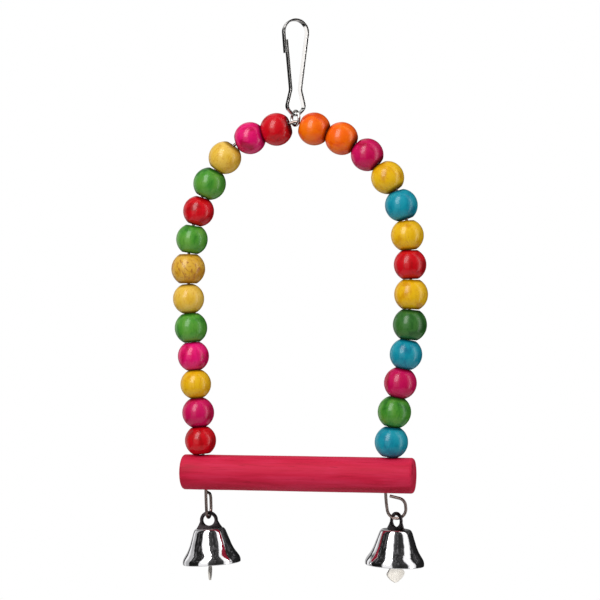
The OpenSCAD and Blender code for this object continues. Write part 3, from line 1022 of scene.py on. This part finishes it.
@dataclass
class FrameWire:
    """The one wire: a kink at the top, two shoulders, two legs and a hook at each end for a bell.

    Each arch lists the bends of one half from the top, the left half first. Below the perch a half leans
    back over its neck, turns up round its eye and ends in a curl and a short tip.
    """

    radius: float = 0.65
    perch_d: float = 15.2
    catch_gap: float = 0.5
    straighten_r: float = 8.0
    arches: tuple[tuple[Bend, ...], tuple[Bend, ...]] = (
        (Bend(3, 17, 20.3), Bend(21, 36), Bend(83, 42)),
        (Bend(3, 18, 14.5), Bend(50, 66), Bend(195, 18, 14), Bend(60, -7)),
    )
    neck: Bend = Bend(44, -10)
    necks: Pair = (2.2, 0.3)
    eye: Bend = Bend(4.0, -175, 0.9)
    curl: Bend = Bend(3.4, -72.5, 4.2)
    eye_yaws: Pair = (90.0, 0.0)
    eye_turn_step: float = 5.0
    eye_run_step: float = 1.5

    def hook(self, k: int) -> list[Station]:
        """Stations of the hook below the perch.

        Args:
            k: 0 for the left half, 1 for the right.

        Returns:
            The stations, the start first.
        """
        neck = Bend(self.neck.radius, self.neck.turn, self.necks[k])
        eye = Bend(self.eye.radius, self.eye.turn, self.eye.run + self.necks[k])
        return run_stations([neck, eye, self.curl], Station(0, 0, 90), self.eye_turn_step, self.eye_run_step)

    def half(self, k: int, apex: float, perch: float) -> list[Vector]:
        """Centre line of half the wire, from the top to its cut end.

        Args:
            k: 0 for the left half, 1 for the right.
            apex: height of the wire's top, in millimetres.
            perch: height of the perch's axis, in millimetres.

        Returns:
            The points, in millimetres.
        """
        bends = list(self.arches[k])
        way = (-1, 1)[k]
        lean = sum(b.turn for b in bends) - 90.0
        end = run_stations(bends, Station(0, 0, 0))[-1]
        hook = self.hook(k)
        lift = -(hook[-1].up + self.radius + self.catch_gap)
        drop = apex - perch + self.perch_d / 2 - lift - abs(self.straighten_r * math.sin(math.radians(lean)))
        last = bends[-1]
        leg = (drop + end.up) / math.sin(math.radians(end.heading))
        bends[-1] = Bend(last.radius, last.turn, last.run + leg)
        bends.append(Bend(self.straighten_r, -lean))
        line = [Vector((way * s.out, 0.0, apex + s.up)) for s in run_stations(bends, Station(0, 0, 0))]
        start = line[-1]
        yaw = math.radians(self.eye_yaws[k])
        for s in hook[1:]:
            line.append(start + Vector((s.out * math.cos(yaw), s.out * math.sin(yaw), s.up)))
        return line

    def build(self, wire: WireTree, finishes: Finishes, joints: Joints) -> None:
        """Bends the wire.

        Args:
            wire: the tree that draws wire.
            finishes: the materials.
            joints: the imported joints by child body.
        """
        apex = joints["frame"]["pos_m"][2] / MM
        low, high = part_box("perch")
        perch = (low[2] + high[2]) / 2 / MM
        left, right = (self.half(k, apex, perch) for k in (0, 1))
        line = list(reversed(left)) + right[1:]
        piece = wire.draw("bent_frame_wire", line, self.radius, finishes[Plate.WIRE])
        crisp(piece)
        settle(piece, Matrix.Identity(4), "frame", "frame_wire")


@dataclass
class SpringHook:
    """The snap hook: one strip that makes the loop, the waist and the bulb, with its left leg as the gate."""

    thick: float = 0.8
    width: float = 3.0
    edge: float = 0.1
    tilt: float = -2.6
    loop_mid_r: float = 5.35
    bulb_half_w: float = 3.8
    bulb_mid_r: float = 2.8
    seat_mid_r: float = 2.2
    seat_lean: float = 45.0
    reach: float = 35.3
    side_lean: float = 7.5
    flare_lean: float = 14.0
    waist_r: float = 4.0
    free_lean: float = 4.5
    free_l: float = 9.0
    gate_gap: float = 0.2
    gate_lap: float = 5.6
    yaw: float = 33.0
    run_step: float = 1.5
    gate_step: float = 0.8
    flexing_steps: int = 5
    edge_steps: int = 4

    def section(self) -> list[Pair]:
        """The strip's section: flat faces, rolled edges, and tilted a little by the bending.

        Returns:
            (off, across) points, with extra ones just inside each edge that keep the faces flat.
        """
        t, w, e = self.thick / 2, self.width / 2, self.edge
        lean = math.tan(math.radians(self.tilt))
        outline = [
            (-t, -w, e), (2 * e - t, -w, 0.0), (t - 2 * e, -w, 0.0),
            (t, -w, e), (t, 2 * e - w, 0.0), (t, w - 2 * e, 0.0),
            (t, w, e), (t - 2 * e, w, 0.0), (2 * e - t, w, 0.0),
            (-t, w, e), (-t, w - 2 * e, 0.0), (-t, 2 * e - w, 0.0)]
        return rounded([(x + y * lean, y, r) for x, y, r in outline], self.edge_steps)

    def body(self) -> tuple[list[Bend], Station, float]:
        """Works out the strip from its free end round the loop, down the side and round the bulb.

        Returns:
            Its bends, where it starts, and how far the gate's leg leans.
        """
        side, flare, free = (math.radians(a) for a in (self.side_lean, self.flare_lean, self.free_lean))
        side_start = Vector((math.cos(side), -math.sin(side))) * self.loop_mid_r
        side_way = Vector((-math.sin(side), -math.cos(side)))
        seat = math.radians(self.seat_lean)
        bulb_in = self.bulb_mid_r * (1 - math.cos(seat)) + self.seat_mid_r * math.cos(seat)
        bulb_run = (self.bulb_half_w - bulb_in) / math.sin(seat)
        bulb_rise = (
            self.bulb_mid_r * (math.sin(seat) + math.sin(flare)) + bulb_run * math.cos(seat)
            + self.seat_mid_r * (1 - math.sin(seat)))
        flare_end = Vector((
            self.bulb_half_w - self.bulb_mid_r * (1 - math.cos(flare)),
            bulb_rise - self.reach - self.thick / 2))
        flare_way = Vector((-math.sin(flare), math.cos(flare)))
        cross = side_way.cross(flare_way)
        side_l = (flare_end - side_start).cross(flare_way) / cross
        flare_l = (flare_end - side_start).cross(side_way) / cross
        waist = side_start + side_way * side_l
        waist_trim = self.waist_r * math.tan((side + flare) / 2)
        free_start = Vector((-math.cos(free), -math.sin(free))) * self.loop_mid_r
        free_run = (self.free_l + free_start.y) / math.cos(free)
        free_end = free_start + Vector((math.sin(free), -math.cos(free))) * free_run
        pass_x = free_end.x + self.thick + self.gate_gap
        lean = math.degrees(math.atan((-waist.x - pass_x) / (free_end.y - waist.y)))
        gate_trim = self.waist_r * math.tan(math.radians(lean + self.flare_lean) / 2)
        bends = [
            Bend(1, 0, free_run),
            Bend(self.loop_mid_r, 180 + self.free_lean + self.side_lean, side_l - waist_trim),
            Bend(self.waist_r, -(self.side_lean + self.flare_lean), flare_l - waist_trim),
            Bend(self.bulb_mid_r, self.flare_lean + self.seat_lean, bulb_run),
            Bend(self.seat_mid_r, 180 - 2 * self.seat_lean, bulb_run),
            Bend(self.bulb_mid_r, self.flare_lean + self.seat_lean, flare_l - gate_trim),
            Bend(self.waist_r, -(lean + self.flare_lean), self.thick / 2),
        ]
        return bends, Station(free_end.x, free_end.y, -(90 + self.free_lean)), lean

    def build(self, finishes: Finishes) -> None:
        """Bends the hook and its gate.

        Args:
            finishes: the materials.
        """
        finish = finishes[Plate.STRIP]
        bends, start, lean = self.body()
        stations = run_stations(bends, start, run_step=self.run_step)
        turn = Matrix.Rotation(math.radians(self.yaw), 4, "Z")
        hook = solid_sweep("bent_spring_hook", stations, self.section(), finish)
        settle(hook, turn, "hook", "spring_hook")
        root = stations[-1]
        length = (start.up + self.gate_lap - root.up) / math.cos(math.radians(lean))
        gate_stations = run_stations([Bend(1, 0, length)], root, run_step=self.gate_step)
        gate = solid_sweep("sprung_gate", gate_stations, self.section(), finish)
        gate.data.transform(turn)
        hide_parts("hook_gate")
        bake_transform(gate)
        LOG.info("%s: bends from the hook into the gate", gate.name)


@dataclass
class SwivelRing:
    """The small ring between the hook and the wire, bent round with a butt joint."""

    mid_r: float = 3.1
    wire_r: float = 0.6
    yaw: float = 42.0
    seam: float = 2.0
    seam_at: float = 205.0
    steps: int = 96

    def build(self, wire: WireTree, finishes: Finishes) -> None:
        """Bends the ring.

        Args:
            wire: the tree that draws wire.
            finishes: the materials.
        """
        low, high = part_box("swivel_ring")
        centre = (Vector(low) + Vector(high)) / 2
        path = []
        for j in range(self.steps + 1):
            angle = math.radians(self.seam_at + self.seam / 2 + (360 - self.seam) * j / self.steps)
            path.append(Vector((self.mid_r * math.cos(angle), 0.0, self.mid_r * math.sin(angle))))
        piece = wire.draw("bent_ring", path, self.wire_r, finishes[Plate.RING])
        crisp(piece)
        turn = Matrix.Rotation(math.radians(90 + self.yaw), 4, "Z")
        settle(piece, Matrix.Translation(centre) @ turn, "ring", "swivel_ring")


@dataclass
class Perch:
    """The dyed dowel, with softly rounded ends and a drilled hole where each leg of the wire crosses it."""

    end_round: float = 1.3
    hole_r: float = 1.467
    hole_xs: Pair = (-40.287, 39.859)
    uneven: float = 0.16
    waves: float = 60.0
    seed: float = 3.0
    segments: int = 96
    side_steps: int = 60
    face_shares: Triple = (0.2, 0.4, 0.6)
    drill_half: float = 9.0
    drill_sides: int = 40
    sharp_past: float = 40.0

    def build(self, lathe: LatheTree, finish: Material) -> None:
        """Turns and drills the dowel.

        Args:
            lathe: the lathe.
            finish: the material.
        """
        low, high = (Vector(corner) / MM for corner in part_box("perch"))
        middle, half = (low + high) / 2, (high.x - low.x) / 2
        radius = (high.z - low.z) / 2
        run = 2 * half - 2 * self.end_round
        steps = self.side_steps
        side = [(radius, -half + self.end_round + run * j / steps, 0.0) for j in range(1, steps)]
        face = [radius * share for share in self.face_shares]
        outline = rounded([
            (0.0, -half, 0.0), *((x, -half, 0.0) for x in face), (radius, -half, self.end_round), *side,
            (radius, half, self.end_round), *((x, half, 0.0) for x in reversed(face)), (0.0, half, 0.0)])
        piece = lathe.turn(
            "dyed_dowel", outline, False, finish, self.segments, self.uneven, self.waves, self.seed)
        piece.data.transform(Matrix.Rotation(math.pi / 2, 4, "Y"))
        piece.data.transform(Matrix.Translation(middle * MM))
        r, end = self.hole_r, self.drill_half
        for x in self.hole_xs:
            drill = lathe.turn(
                "drill", [(0.0, -end), (r, -end), (r, end), (0.0, end)], False, finish, self.drill_sides)
            drill.data.transform(Matrix.Translation(Vector((x, middle.y, middle.z)) * MM))
            cut_away(piece, drill)
        crisp(piece, self.sharp_past)
        settle(piece, Matrix.Identity(4), "frame", "perch")


@dataclass
class Bell:
    """A pressed bell with its flat hanger and the leaf that swings in it.

    The shape, the leaf and the ear's side are shares of the bell's, the leaf's and the ear's own width and
    height, from the top of the bell and the leaf and from the foot of the ear.
    """

    side: str
    yaw: float
    lean: float
    seed: float
    rim_r: float = 12.6
    height: float = 15.2
    wall: float = 0.6
    uneven: float = 0.16
    waves: float = 130.0
    segments: int = 144
    crown_drop: float = 4.65
    slot_half_w: float = 2.0
    slot_reach: Pair = (-2.0, 1.0)
    slot_w: float = 0.8
    slot_edge: float = 0.02
    ear_r: float = 3.95
    ear_hole_r: float = 2.4
    ear_h: float = 3.5
    foot: float = 5.7
    plate: float = 0.6
    plate_edge: float = 0.09
    pivot_h: float = 4.4
    link_r: float = 1.1
    link_band: float = 0.8
    link_drop: float = 0.5
    link_sides: int = 32
    leaf_l: float = 17.8
    leaf_w: float = 9.6
    leaf_t: float = 0.8
    leaf_edge: float = 0.14
    leaf_blend: float = 14.0
    leaf_ring_steps: int = 36
    least_step: float = 0.02
    shape: tuple[Pair, ...] = (
        (0.44, 0), (0.485, 0.008), (0.52, 0.03), (0.555, 0.08), (0.582, 0.14), (0.624, 0.245),
        (0.673, 0.36), (0.716, 0.465), (0.775, 0.575), (0.817, 0.64), (0.862, 0.70), (0.912, 0.76),
        (0.957, 0.82), (0.985, 0.87), (1, 0.925), (1, 1))
    leaf: tuple[Pair, ...] = (
        (0.13, 0.08), (0.15, 0.32), (0.40, 0.55), (0.80, 0.70), (0.98, 0.765), (0.94, 0.82),
        (0.72, 0.89), (0.40, 0.955), (0.12, 0.995))
    ear_side: tuple[Pair, ...] = ((1, 0), (0.96, 0.11), (0.83, 0.42), (0.69, 0.88))

    def hung(self, pivot: list[float], lean: float, drop: float, yaw: float) -> Matrix:
        """Where a piece hangs from a pivot.

        Args:
            pivot: the pivot, in metres.
            lean: the lean about Y, in degrees.
            drop: how far below the pivot the piece starts, in millimetres.
            yaw: the turn about its own axis, in degrees.

        Returns:
            The place, in metres.
        """
        lowered = Matrix.Translation((0.0, 0.0, -drop * MM))
        leaning = Matrix.Rotation(math.radians(lean), 4, "Y")
        return Matrix.Translation(pivot) @ leaning @ lowered @ Matrix.Rotation(math.radians(yaw), 4, "Z")

    def shell_outline(self) -> list[Pair]:
        """The wall's half section, from the crown round the rim to the inside.

        Returns:
            (radius, height) points, in millimetres, with no two on top of each other.
        """
        outer = smooth_line([(0.0, 0.0), (0.2, 0.0), *self.shape], steps=6)
        outer = [(x * self.rim_r, -y * self.height) for x, y in outer]
        inner = []
        for i in range(len(outer) - 1, -1, -1):
            before, after = Vector(outer[max(i - 1, 0)]), Vector(outer[min(i + 1, len(outer) - 1)])
            along = (after - before).normalized()
            spot = Vector(outer[i]) + Vector((along.y, -along.x)) * self.wall
            inner.append((max(spot.x, 0.0), spot.y))
        inner[-1] = (0.0, -self.wall)
        rim, roll_r = outer[-1], self.wall / 2
        roll = [
            (rim[0] - roll_r + roll_r * math.cos(a), rim[1] - roll_r * math.sin(a) + roll_r)
            for a in (math.radians(d) for d in range(15, 180, 15))]
        outer, inner = ([(x, max(y, rim[1] + roll_r)) for x, y in wall] for wall in (outer, inner))
        line: list[Pair] = []
        for point in outer + roll + inner:
            if not line or (Vector(point) - Vector(line[-1])).length > self.least_step:
                line.append(point)
        return line

    def hanger_outlines(self) -> list[list[Pair]]:
        """The hanger: an ear over the crown, and a stem that ends in an eye below it.

        Returns:
            Its outline and its two holes.
        """
        eye_up = -(self.pivot_h - self.link_r - self.link_band / 2)
        outer_r = self.link_r + self.link_band
        right = [(x * self.foot, y * self.ear_h) for x, y in self.ear_side]
        left = [(-x, y) for x, y in reversed(right)]
        top = arc(self.ear_h, self.ear_r, range(-2, 183, 6))
        low = arc(eye_up, outer_r, range(180, 361, 8))
        outline = right + top + left + [(-outer_r, 0.0)] + low + [(outer_r, 0.0)]
        return [outline, circle(self.ear_h, self.ear_hole_r), circle(eye_up, self.link_r, self.link_sides)]

    def leaf_outlines(self) -> list[list[Pair]]:
        """The clapper: a ring round the link and the leaf that hangs from it.

        Returns:
            Its outline and the ring's hole.
        """
        outer_r = self.link_r + self.link_band
        half = smooth_line([(x * self.leaf_w / 2, -y * self.leaf_l) for x, y in self.leaf], steps=5)
        start = math.degrees(math.atan2(half[0][1], half[0][0]))
        sweep = 360 - 2 * (90 + start) - 2 * self.leaf_blend
        steps = self.leaf_ring_steps
        turns = [math.radians(start + self.leaf_blend + sweep * j / steps) for j in range(steps + 1)]
        ring = [(outer_r * math.cos(a), outer_r * math.sin(a)) for a in turns]
        outline = ring + [(-x, y) for x, y in half] + [(0.0, -self.leaf_l)] + list(reversed(half))
        return [outline, circle(0.0, self.link_r, self.link_sides)]

    def build(self, lathe: LatheTree, finishes: Finishes, joints: Joints) -> None:
        """Presses the shell, stamps the hanger and the leaf, and hangs them.

        Args:
            lathe: the lathe.
            finishes: the materials.
            joints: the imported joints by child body.
        """
        body, swing = f"bell_{self.side}", f"clapper_{self.side}"
        place = self.hung(joints[body]["pos_m"], self.lean, self.crown_drop, self.yaw)
        leaf_place = self.hung(joints[swing]["pos_m"], 0.0, self.link_drop, self.yaw + 90.0)
        shell = lathe.turn(
            f"pressed_bell_{self.side}", self.shell_outline(), False, finishes[Plate.BELL],
            self.segments, self.uneven, self.waves, self.seed)
        w, (low, high) = self.slot_half_w, self.slot_reach
        cut_away(shell, stamped(
            "slot_punch", [[(-w, low), (w, low), (w, high), (-w, high)]], self.slot_w, self.slot_edge,
            finishes[Plate.BELL]))
        crisp(shell)
        hanger = stamped(
            f"stamped_hanger_{self.side}", self.hanger_outlines(), self.plate, self.plate_edge,
            finishes[Plate.HANGER])
        leaf = stamped(
            f"stamped_clapper_{self.side}", self.leaf_outlines(), self.leaf_t, self.leaf_edge,
            finishes[Plate.CLAPPER])
        settle(shell, place, body, f"bell_shell_{self.side}")
        settle(hanger, place, body, f"bell_hanger_{self.side}")
        settle(leaf, leaf_place, swing, f"bell_clapper_{self.side}")


# Studio


@dataclass(frozen=True)
class Lamp:
    """A soft box: degrees beside the camera, metres away and above, width and height, and power."""

    name: str
    beside: float
    distance: float
    up: float
    size: Pair
    power: float


@dataclass(frozen=True)
class Studio:
    """A white room: a pale floor far below, a soft key on the left, a strip on the right, and the camera.

    What gloss shows of the room is a ring of pale and dark walls. A stop is the angle beside the camera
    and the brightness there. The front is the same at every height, and the back changes over each
    level's (low, full, gain, stops) heights, where 1 is straight up. Pale things stand on the upper walls.
    """

    target: Triple = (0.002, 0.0, -0.115)
    distance: float = 0.9
    azimuth: float = 12.0
    lens: float = 125.8
    sensor: float = 36.0
    floor_up: float = -1.0
    floor_half: float = 1.2
    floor_greys: Pair = (0.84, 0.86)
    floor_rough: float = 0.7
    floor_cloud: Pattern = Pattern(EVEN, 6.0, 3.0)
    floor_range: Pair = (0.4, 0.6)
    light_band: Pair = (-0.8, 0.8)
    low_light: float = 0.05
    high_light: float = 0.58
    glow: float = 1.25
    clutter: float = 0.12
    clutter_band: Pair = (0.22, 0.40)
    things: Pattern = Pattern((1.0, 1.0, 0.6), 9.0, 5.0, 0.8)
    things_range: Pair = (0.50, 0.66)
    things_colour: Colour = (1.0, 0.97, 1.0, 1.0)
    lamps: tuple[Lamp, ...] = (
        Lamp("key", -31, 0.70, 0.49, (0.38, 0.80), 5.5),
        Lamp("strip", 70, 0.7, 0.0, (0.14, 1.10), 1.2))
    front: tuple[Pair, ...] = (
        (-94, 0.01), (-54, 0.01), (-49, 1.00), (-14, 1.00), (-9, 0.06), (20, 0.02), (49, 0.04), (54, 1.00),
        (87, 1.00), (92, 0.02), (150, 0.01), (174, 0.01))
    levels: tuple[tuple[float, float, float, tuple[Pair, ...]], ...] = (
        (-1.0, -0.9, 0.1, (
            (-177, 0.4), (-152, 0.4), (-149, 0.01), (-139.5, 0.01), (-136.5, 0.70), (-104, 0.40))),
        (-0.5, -0.3, 0.9, (
            (-177, 0.45), (-152, 0.5), (-149, 0.01), (-139.5, 0.01), (-136.5, 1.0), (-128, 1.0), (-122, 0.5),
            (-104, 0.45))),
        (0.34, 0.50, 1.0, (
            (-177, 0.4), (-152, 0.4), (-149, 0.01), (-130, 0.01), (-121, 0.42), (-104, 0.46))))

    def aimed(self, name: str, data: bpy.types.ID, azimuth: float, distance: float, up: float) -> Piece:
        """Stands a camera or lamp round the object and turns it to face the object.

        Args:
            name: its name.
            data: the camera or lamp.
            azimuth: where it stands, 0 in front of the object and 90 on its right.
            distance: how far off.
            up: how far above the object's middle.

        Returns:
            The camera or lamp.
        """
        angle = math.radians(azimuth)
        piece = set_out(name, data)
        away = Vector((math.sin(angle) * distance, -math.cos(angle) * distance, up))
        piece.location = Vector(self.target) + away
        piece.rotation_euler = (Vector(self.target) - piece.location).to_track_quat("-Z", "Y").to_euler()
        return piece

    def camera(self) -> None:
        """Sets up the camera."""
        data = bpy.data.cameras.new("camera")
        data.lens = self.lens
        data.sensor_width = self.sensor
        bpy.context.scene.camera = self.aimed("camera", data, self.azimuth, self.distance, 0.0)

    def light(self, lamp: Lamp) -> None:
        """Adds a soft box.

        Args:
            lamp: the soft box.
        """
        data = bpy.data.lights.new(lamp.name, "AREA")
        data.shape = "RECTANGLE"
        data.size, data.size_y = lamp.size
        data.energy = lamp.power
        self.aimed(lamp.name, data, self.azimuth + lamp.beside, lamp.distance, lamp.up)

    def wall_stops(self, gain: float, back: tuple[Pair, ...]) -> list[tuple[float, Colour]]:
        """Stops of the ring of walls at one level.

        Args:
            gain: factor on the brightness.
            back: the back's own stops.

        Returns:
            (share of a full turn of the room's texture, grey) of each stop, from 0 to 1.
        """
        stops = []
        for beside, grey in (*back, *self.front):
            share = ((beside + self.azimuth - 90) / 360 + 0.5) % 1.0
            stops.append((share, (grey * gain, grey * gain, grey * gain, 1.0)))
        stops.sort()
        return [(0.0, stops[0][1]), *stops, (1.0, stops[-1][1])]

    def world(self) -> None:
        """Lights the room from above, white to the camera, with dark flags between pale walls for gloss."""
        world = bpy.data.worlds.new("room")
        bpy.context.scene.world = world
        world.use_nodes = True
        room = Nodes(world.node_tree)
        where = room.add("ShaderNodeTexCoord", output="Generated")
        height = room.add("ShaderNodeSeparateXYZ", {"Vector": where}, "Z")
        turn = room.add("ShaderNodeTexGradient", {"Vector": where}, "Fac", gradient_type="RADIAL")
        things = room.tint(BLACK, self.things_colour, room.noise(where, self.things), *self.things_range, 1.0)
        shown = things
        for low, full, gain, back in self.levels:
            shown = room.tint(shown, room.ramp(turn, self.wall_stops(gain, back)), height, low, full, 1.0)
        shown = room.mix(room.fade(height, *self.clutter_band, 0.0, self.clutter), shown, things, "ADD")
        strength = room.fade(height, *self.light_band, self.low_light, self.high_light)
        plain = world.node_tree.nodes["Background"]
        room.feed(plain, {"Color": WHITE, "Strength": strength})
        walls = room.add("ShaderNodeBackground", {"Color": shown, "Strength": self.glow})
        white = room.add("ShaderNodeBackground", {"Color": WHITE})
        rays = room.tree.nodes.new("ShaderNodeLightPath").outputs
        gloss = room.add("ShaderNodeMixShader", {
            "Fac": rays["Is Glossy Ray"], 1: plain.outputs["Background"], 2: walls})
        seen = room.add("ShaderNodeMixShader", {"Fac": rays["Is Camera Ray"], 1: gloss, 2: white})
        room.feed(world.node_tree.nodes["World Output"], {"Surface": seen})

    def floor(self) -> None:
        """Lays the pale floor."""
        half, up = self.floor_half, self.floor_up
        corners = [(-half, -half, up), (half, -half, up), (half, half, up), (-half, half, up)]
        floor = from_points("floor", corners, [], [(0, 1, 2, 3)])
        tree = SurfaceTree("pale_floor")
        cloud = tree.noise(tree.object_place(), self.floor_cloud)
        dark, pale = ((grey, grey, grey, 1.0) for grey in self.floor_greys)
        colour = tree.tint(dark, pale, cloud, *self.floor_range, share=1.0)
        floor.data.materials.append(tree.finish({"Base Color": colour, "Roughness": self.floor_rough}))

    def build(self) -> None:
        """Sets up the whole studio."""
        bpy.context.scene.view_settings.view_transform = "Standard"
        self.camera()
        self.world()
        for lamp in self.lamps:
            self.light(lamp)
        self.floor()


LEFT_DYES = (
    Dye.RED, Dye.PINK, Dye.YELLOW, Dye.PINK, Dye.GREEN, Dye.PALE_YELLOW, Dye.SPECKLED, Dye.GREEN, Dye.RED,
    Dye.GREEN, Dye.PALE_YELLOW, Dye.PINK, Dye.RED)
RIGHT_DYES = (
    Dye.TEAL, Dye.GREEN, Dye.PINK, Dye.TEAL, Dye.DARK_GREEN, Dye.YELLOW, Dye.RED, Dye.YELLOW, Dye.TEAL,
    Dye.YELLOW, Dye.PINK, Dye.ORANGE, Dye.ORANGE)
LEFT_TONES = (0.1, 0.42, 0.1, 0.0, 0.0, 0.0, 0.0, 0.0, 0.0, 0.1, 0.0, 0.06, 0.1)
RIGHT_TONES = (0.1, 0.2, 0.5, 0.1, 0.0, 0.0, 0.1, 0.0, 0.0, 0.0, 0.45, 0.0, 0.05)


def main() -> None:
    """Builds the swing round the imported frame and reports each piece."""
    logging.basicConfig(level=logging.INFO, format="%(name)s: %(message)s")
    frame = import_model()
    joints = {joint["child"]: joint for joint in frame["joints"]}
    Studio().build()
    lathe, wire = LatheTree(), WireTree()
    finishes = {option: option.value.make() for option in (*Dye, *Plate)}
    SpringHook().build(finishes)
    SwivelRing().build(wire, finishes)
    FrameWire().build(wire, finishes, joints)
    Perch().build(lathe, DyedDowel().make())
    BeadString("left", LEFT_DYES, LEFT_TONES, 0.0).build(lathe, finishes, joints)
    BeadString("right", RIGHT_DYES, RIGHT_TONES, 40.0).build(lathe, finishes, joints)
    Bell("left", 8.0, -4.0, 1.0).build(lathe, finishes, joints)
    Bell("right", -41.0, 2.5, 7.0).build(lathe, finishes, joints)


if __name__ == "__main__":
    main()
